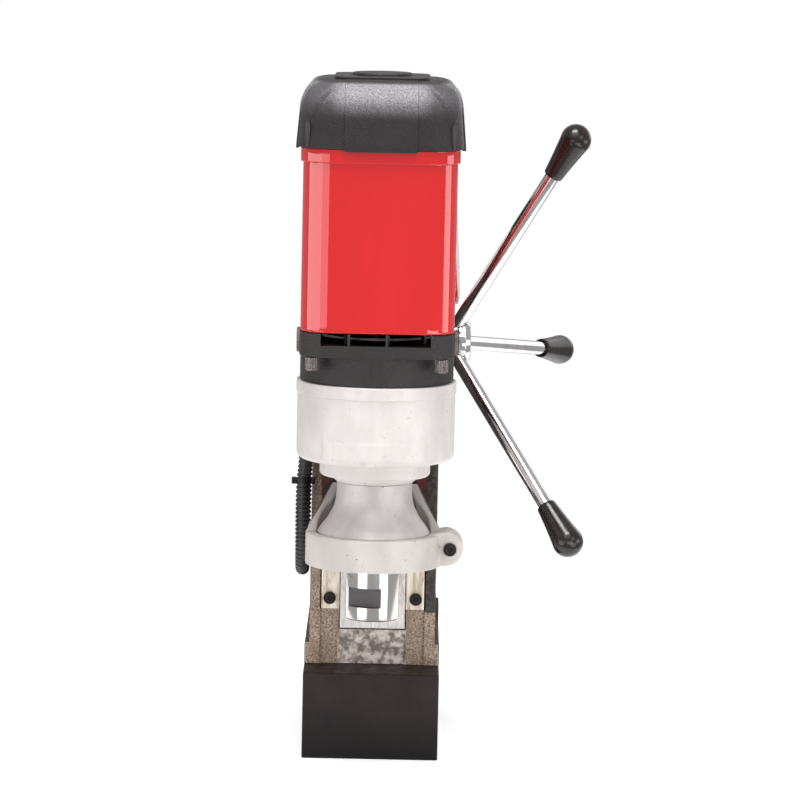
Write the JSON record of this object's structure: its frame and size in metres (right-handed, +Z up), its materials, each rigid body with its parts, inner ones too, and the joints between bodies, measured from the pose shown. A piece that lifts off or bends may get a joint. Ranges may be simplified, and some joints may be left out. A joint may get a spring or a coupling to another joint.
{
  "type": "magnetic drill press",
  "caption": "Electromagnet base and cast stand, rack-fed carriage with a geared motor over a drilling spindle, and a spoked feed capstan at the side.",
  "frame": {"origin": "middle of the magnet's underside, where the tool holds to the work", "axes": "+Z up along the spindle and the feed, -Y towards the spindle side, +X towards the capstan"},
  "size_m": [0.1703, 0.2832, 0.4052],
  "materials": {
    "black_paint": "satin black paint",
    "potting_resin": "cast resin, smooth",
    "cast_iron": "bare rough sand casting, black paint on the outer sides",
    "brass": "machined, lightly stained",
    "machined_steel": "ground and turned, light oil",
    "red_paint": "gloss red paint",
    "cast_aluminium": "satin die casting",
    "black_plastic": "spark-eroded texture",
    "black_steel": "black oxide",
    "chrome": "polished plating",
    "copper": "varnished copper windings on steel laminations",
    "circuit": "solder mask",
    "bakelite": "polished phenolic",
    "green_plastic": "gloss",
    "red_plastic": "gloss"
  },
  "bodies": {
    "stand": {"magnet_body": "black_paint", "magnet_coil": "potting_resin", "stand_casting": "cast_iron", "foot_screw_front": "black_steel", "foot_screw_rear": "black_steel", "keeper_strip_left": "brass", "keeper_strip_right": "brass", "keeper_screw_left": "black_steel", "keeper_screw_right": "black_steel", "rear_cover": "black_paint", "mains_gland": "black_plastic", "circuit_board": "circuit", "carry_handle": "black_plastic", "pinion_bush_left": "brass", "pinion_bush_right": "brass", "side_cover": "red_paint", "conduit_gland_stand": "black_plastic", "conduit": "black_plastic"},
    "carriage": {"carriage_slide": "machined_steel", "carriage_saddle": "red_paint", "feed_rack": "machined_steel", "ring_bracket": "cast_aluminium", "clamp_screw": "black_steel", "quill_housing": "cast_aluminium", "spindle_bearing_lower": "machined_steel", "spindle_bearing_upper": "machined_steel", "gearbox_housing": "cast_aluminium", "gearcase_plate": "cast_aluminium", "armature_bearing_lower": "machined_steel", "fan_housing": "black_plastic", "motor_housing": "red_paint", "motor_screw_1": "black_steel", "motor_screw_2": "black_steel", "motor_screw_3": "black_steel", "motor_screw_4": "black_steel", "field_stator": "copper", "brush_holder_left": "brass", "brush_holder_right": "brass", "armature_bearing_upper": "machined_steel", "top_cap": "black_plastic", "conduit_gland_carriage": "black_plastic"},
    "spindle_shaft": {"spindle": "machined_steel", "spindle_gear": "machined_steel"},
    "layshaft": {"layshaft_pinion": "machined_steel", "layshaft_gear": "machined_steel"},
    "rotor": {"armature": "machined_steel", "cooling_fan": "black_plastic"},
    "capstan": {"pinion_shaft": "machined_steel", "capstan_hub": "chrome", "spoke_upper": "chrome", "spoke_rear": "chrome", "spoke_lower": "chrome", "knob_upper": "bakelite", "knob_rear": "bakelite", "knob_lower": "bakelite"},
    "start_push": {"start_button": "green_plastic"},
    "stop_push": {"stop_button": "red_plastic"},
    "magnet_switch": {"magnet_rocker": "black_plastic"}
  },
  "joints": [
    {"name": "carriage_feed", "type": "slide", "parent": "stand", "child": "carriage", "axis": [0, 0, 1], "range_m": [-0.001, 0.12], "deforming": ["conduit"]},
    {"name": "capstan_turn", "type": "hinge", "parent": "stand", "child": "capstan", "pos_m": [0.04, -0.015, 0.241], "axis": [1, 0, 0], "range_deg": [-690, 8]},
    {"name": "rotor_spin", "type": "hinge", "parent": "carriage", "child": "rotor", "pos_m": [0, -0.107, 0.3], "axis": [0, 0, 1], "continuous": true},
    {"name": "layshaft_spin", "type": "hinge", "parent": "carriage", "child": "layshaft", "pos_m": [0, -0.085, 0.2], "axis": [0, 0, 1], "continuous": true},
    {"name": "spindle_spin", "type": "hinge", "parent": "carriage", "child": "spindle_shaft", "pos_m": [0, -0.107, 0.089], "axis": [0, 0, 1], "continuous": true},
    {"name": "start_press", "type": "slide", "parent": "stand", "child": "start_push", "axis": [0, -1, 0], "range_m": [0, 0.003], "stiffness_N_per_m": 400, "springref_m": -0.002},
    {"name": "stop_press", "type": "slide", "parent": "stand", "child": "stop_push", "axis": [0, -1, 0], "range_m": [0, 0.003], "stiffness_N_per_m": 400, "springref_m": -0.002},
    {"name": "magnet_rock", "type": "hinge", "parent": "stand", "child": "magnet_switch", "pos_m": [0, 0.0625, 0.255], "axis": [1, 0, 0], "range_deg": [0, 16]}
  ],
  "couplings": [
    {"joint": "capstan_turn", "follows": "carriage_feed", "rad_per_m": -100},
    {"joint": "layshaft_spin", "follows": "rotor_spin", "ratio": -0.25714},
    {"joint": "spindle_spin", "follows": "rotor_spin", "ratio": 0.085714}
  ]
}
